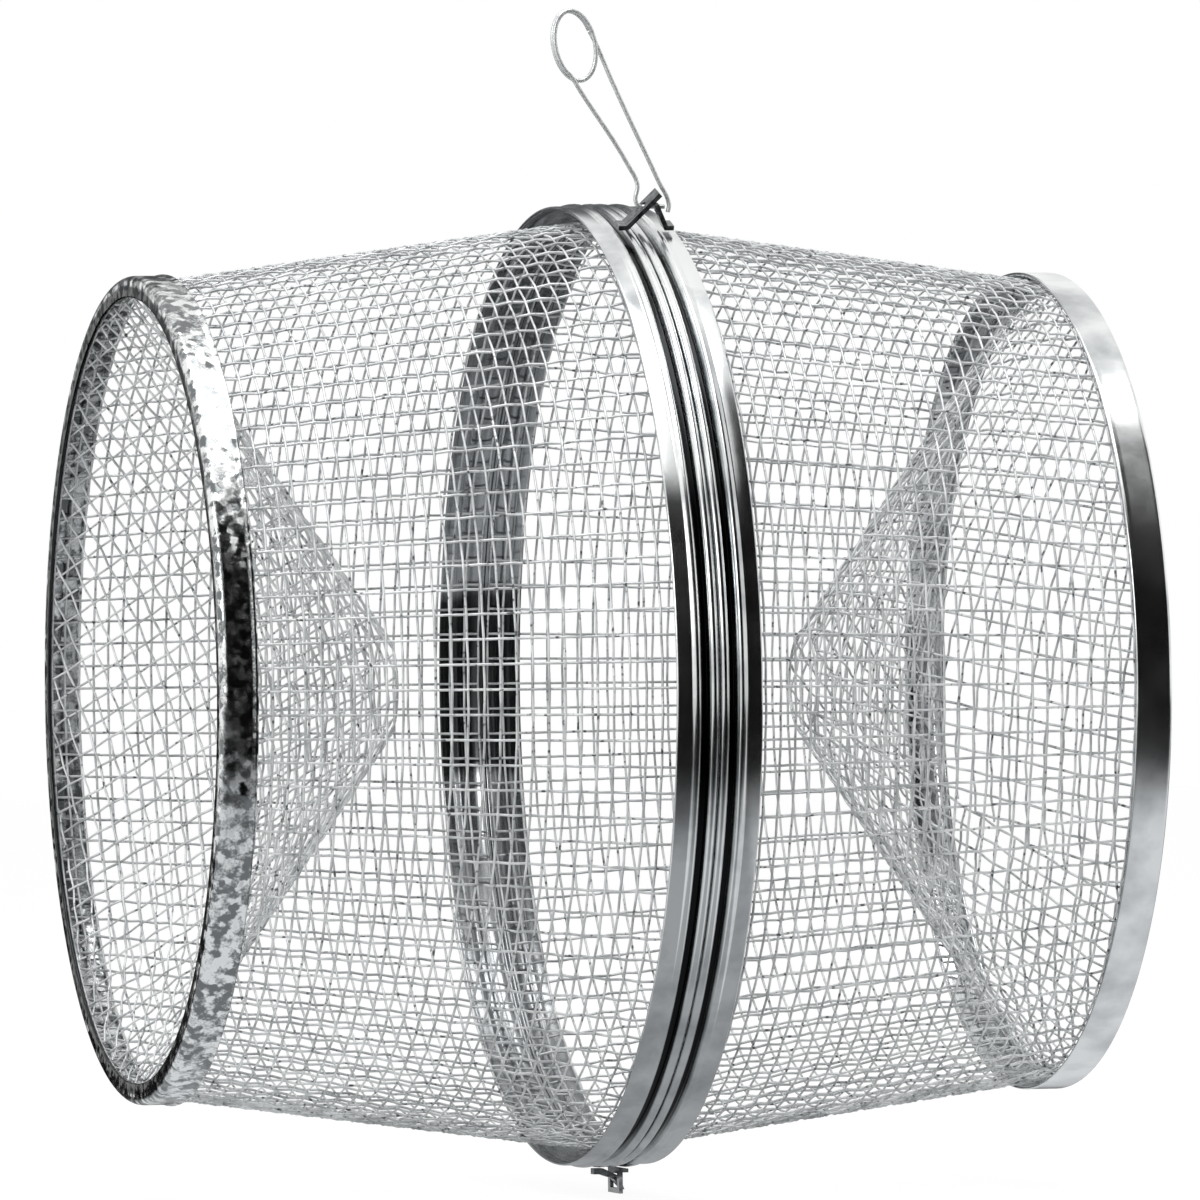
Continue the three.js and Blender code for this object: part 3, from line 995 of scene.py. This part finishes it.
@dataclass
class Studio:
    """Pale floor, white surroundings, lamps, dark card and the camera of the photograph.

    The floor's glow is a little over 1, because it makes only a share of the floor's brightness.
    Each lamp has its name, its place, its side in metres and its power in watts.
    """

    plain_light: float = 0.55
    lamps: tuple[tuple[str, tuple[float, float, float], float, float], ...] = (
        ("top_softbox", (-0.2, -0.3, 2.2), 1.6, 32.0),
        ("left_softbox", (-2.2, -1.6, 1.2), 1.0, 18.0),
    )
    floor_size: float = 12.0
    floor_colour: str = "e9e9e8"
    floor_glow: float = 1.05
    glow_share: float = 0.9
    card_radius: float = 1.7
    card_ends: tuple[float, float] = (-0.6, 1.5)
    card_height: float = 0.004
    card_steps: int = 60
    dark_colour: str = "191818"
    low_colour: str = "dcdee0"
    rear_colour: str = "5e6062"
    belly_colour: str = "a2a4a6"
    belly_range: tuple[float, float] = (50 * MM, 80 * MM)
    right_range: tuple[float, float] = (0.49, 0.54)
    right_rise: float = 29 * DEGREE
    above_range: tuple[float, float] = (43 * DEGREE, 52 * DEGREE)
    behind_range: tuple[float, float] = (142 * DEGREE, 152 * DEGREE)
    below_range: tuple[float, float] = (-17 * DEGREE, -33 * DEGREE)
    far_range: tuple[float, float] = (-104 * DEGREE, -142 * DEGREE)
    distance: float = 2.897
    lens: float = 365.4
    sensor: float = 36.0
    far_clip: float = 50.0
    yaw: float = 14.56 * DEGREE
    pitch: float = 0.37 * DEGREE
    roll: float = 0.53 * DEGREE
    aim: tuple[float, float] = (1.35 * MM, 20.32 * MM)

    def surroundings(self) -> None:
        """Make the world white where it is seen or mirrored, and plain grey light elsewhere."""
        world = bpy.data.worlds.new("studio")
        bpy.context.scene.world = world
        shader = Shader(world)
        strength = shader.add("MapRange", (shader.seen(), 0.0, 1.0, self.plain_light, 1.0))
        back = shader.add("Background", {"Color": WHITE, "Strength": strength})
        shader.add("OutputWorld", (back,))

    def floor(self) -> bpy.types.Object:
        """Lay the floor, white where it is seen and nothing shades it.

        Returns:
            The floor.
        """
        mesh = bpy.data.meshes.new("floor")
        bm = bmesh.new()
        bmesh.ops.create_grid(bm, x_segments=1, y_segments=1, size=self.floor_size / 2)
        bm.to_mesh(mesh)
        bm.free()
        shader = Shader(bpy.data.materials.new("studio_floor"))
        paint = shader.add("BsdfDiffuse", {"Color": linear(self.floor_colour)})
        glow = shader.add("Emission", {"Color": WHITE, "Strength": self.floor_glow})
        share = shader.add("Math", (shader.seen(), self.glow_share), operation="MULTIPLY")
        shader.add("OutputMaterial", (shader.add("MixShader", (share, paint, glow)),))
        obj = shown("floor", mesh, shader.owner)
        return obj

    def card_paint(self) -> bpy.types.Material:
        """Paint the dark card, whose tones the rims mirror at the angles of the photograph.

        Returns:
            The paint.
        """
        shader = Shader(bpy.data.materials.new("dark_card"))
        along, _, angle = shader.polar()
        # The card stands higher on the right, where the right end rim mirrors it.
        rise = (along, *self.right_range, 0.0, self.right_rise)
        raised = shader.add("MapRange", rise, **SMOOTH)
        front = shader.add("Math", (angle, raised), operation="SUBTRACT")
        above = shader.add("MapRange", (front, *self.above_range), **SMOOTH)
        # Behind, its left part comes down again as a grey band.
        left = shader.add("MapRange", (along, *self.right_range, 1.0, 0.0), **SMOOTH)
        behind = shader.add("MapRange", (angle, *self.behind_range), **SMOOTH)
        behind = shader.add("Math", (behind, left), operation="MULTIPLY")
        cleared = shader.add("Math", (above, behind), operation="SUBTRACT")
        rear = {0: behind, FIRST: linear(self.dark_colour), SECOND: linear(self.rear_colour)}
        shade = shader.add("Mix", rear, **COLOURS)
        # The mat is pale, but lies in the trap's own shade right under its belly.
        below = shader.add("MapRange", (angle, *self.below_range), **SMOOTH)
        far = shader.add("MapRange", (angle, *self.far_range), **SMOOTH)
        low = shader.add("Math", (below, far), operation="SUBTRACT")
        aside = shader.add("Math", (along,), operation="ABSOLUTE")
        lit = shader.add("MapRange", (aside, *self.belly_range), **SMOOTH)
        floor = {0: lit, FIRST: linear(self.belly_colour), SECOND: linear(self.low_colour)}
        mat = shader.add("Mix", floor, **COLOURS)
        shade = shader.add("Mix", {0: low, FIRST: shade, SECOND: mat}, **COLOURS)
        card = shader.add("Emission", {"Color": shade})
        paint = shader.add("MixShader", (cleared, card, shader.add("BsdfTransparent")))
        shader.add("OutputMaterial", (paint,))
        return shader.owner

    def dark_card(self) -> bpy.types.Object:
        """Bend the card from the front over the trap to the back, with a mat under the trap.

        Returns:
            The card, which only mirrors show.
        """
        mesh = bpy.data.meshes.new("dark_card")
        bm = bmesh.new()
        front = (-self.card_radius, self.card_height)
        ends = [bm.verts.new((x, *front)) for x in self.card_ends]
        edge = bm.edges.new(ends)
        bmesh.ops.spin(
            bm,
            geom=[*ends, edge],
            cent=(0.0, 0.0, 0.0),
            axis=(1.0, 0.0, 0.0),
            angle=-TURN / 2,
            steps=self.card_steps,
        )
        rear = bmesh.ops.extrude_edge_only(bm, edges=[edge])["geom"]
        inward = Vector((0.0, 2 * self.card_radius, 0.0))
        moved = [v for v in rear if isinstance(v, bmesh.types.BMVert)]
        bmesh.ops.translate(bm, verts=moved, vec=inward)
        bm.to_mesh(mesh)
        bm.free()
        obj = shown("dark_card", mesh, self.card_paint())
        obj.visible_camera = False
        obj.visible_shadow = False
        obj.visible_diffuse = False
        return obj

    def lamp(self, name: str, place: Vector, size: float, power: float) -> None:
        """Hang a square soft lamp that faces the trap.

        Args:
            name: the lamp's name.
            place: where it hangs.
            size: its side in metres.
            power: its power in watts.
        """
        light = bpy.data.lights.new(name, "AREA")
        light.size = size
        light.energy = power
        obj = bpy.data.objects.new(name, light)
        obj.location = place
        obj.rotation_euler = (UP * AXIS_HEIGHT - place).to_track_quat("-Z", "Y").to_euler()
        bpy.context.scene.collection.objects.link(obj)

    def camera(self) -> None:
        """Set the camera where the photograph was taken."""
        yaw, pitch, roll = self.yaw, self.pitch, self.roll
        level = math.cos(pitch)
        view = Vector((math.sin(yaw) * level, math.cos(yaw) * level, -math.sin(pitch)))
        middle = UP * AXIS_HEIGHT
        place = middle - view * self.distance
        right = Vector((math.cos(yaw), -math.sin(yaw), 0.0))
        view = (middle + right * self.aim[0] + UP * self.aim[1] - place).normalized()
        right = view.cross(UP).normalized()
        up = right.cross(view)
        right, up = (
            right * math.cos(roll) - up * math.sin(roll),
            up * math.cos(roll) + right * math.sin(roll),
        )
        data = bpy.data.cameras.new("camera")
        data.lens = self.lens
        data.sensor_width = self.sensor
        data.clip_end = self.far_clip
        obj = bpy.data.objects.new("camera", data)
        turn = Matrix((right, up, -view)).transposed().to_4x4()
        obj.matrix_world = Matrix.Translation(place) @ turn
        bpy.context.scene.collection.objects.link(obj)
        bpy.context.scene.camera = obj

    def build(self) -> None:
        """Build the whole studio."""
        self.surroundings()
        self.floor()
        self.dark_card()
        for name, place, size, power in self.lamps:
            self.lamp(name, Vector(place), size, power)
        self.camera()
        bpy.context.scene.view_settings.view_transform = "Standard"


def main() -> None:
    """Build the trap's looks in order and report each piece."""
    logging.basicConfig(level=logging.INFO, format="%(name)s: %(message)s")
    cloth = GalvanisedWire().build()
    bright = BrightSheet().build()
    spangled = SpangledZinc().build()
    made: list[bpy.types.Object] = []
    for half in Half:
        made.append(ShellCloth(half, cloth).build())
        made.append(FunnelCloth(half, cloth).build())
        made.append(MiddleRim(half, bright).build())
    made.append(EndRim(Half.LEFT, spangled, "galvanised_rim").build())
    sharp = {"corner": SHARP_CORNER, "crown": SLIGHT_CROWN}
    made.append(EndRim(Half.RIGHT, bright, "bright_rim", **sharp).build())
    made += Fittings(PressedSheet().build()).build()
    made += WireClip(SpringWire().build()).build()
    for obj in made:
        finish = obj.data.materials[0].name
        LOG.info("%s: %d faces, %s", obj.name, len(obj.data.polygons), finish)
    Studio().build()


if __name__ == "__main__":
    main()
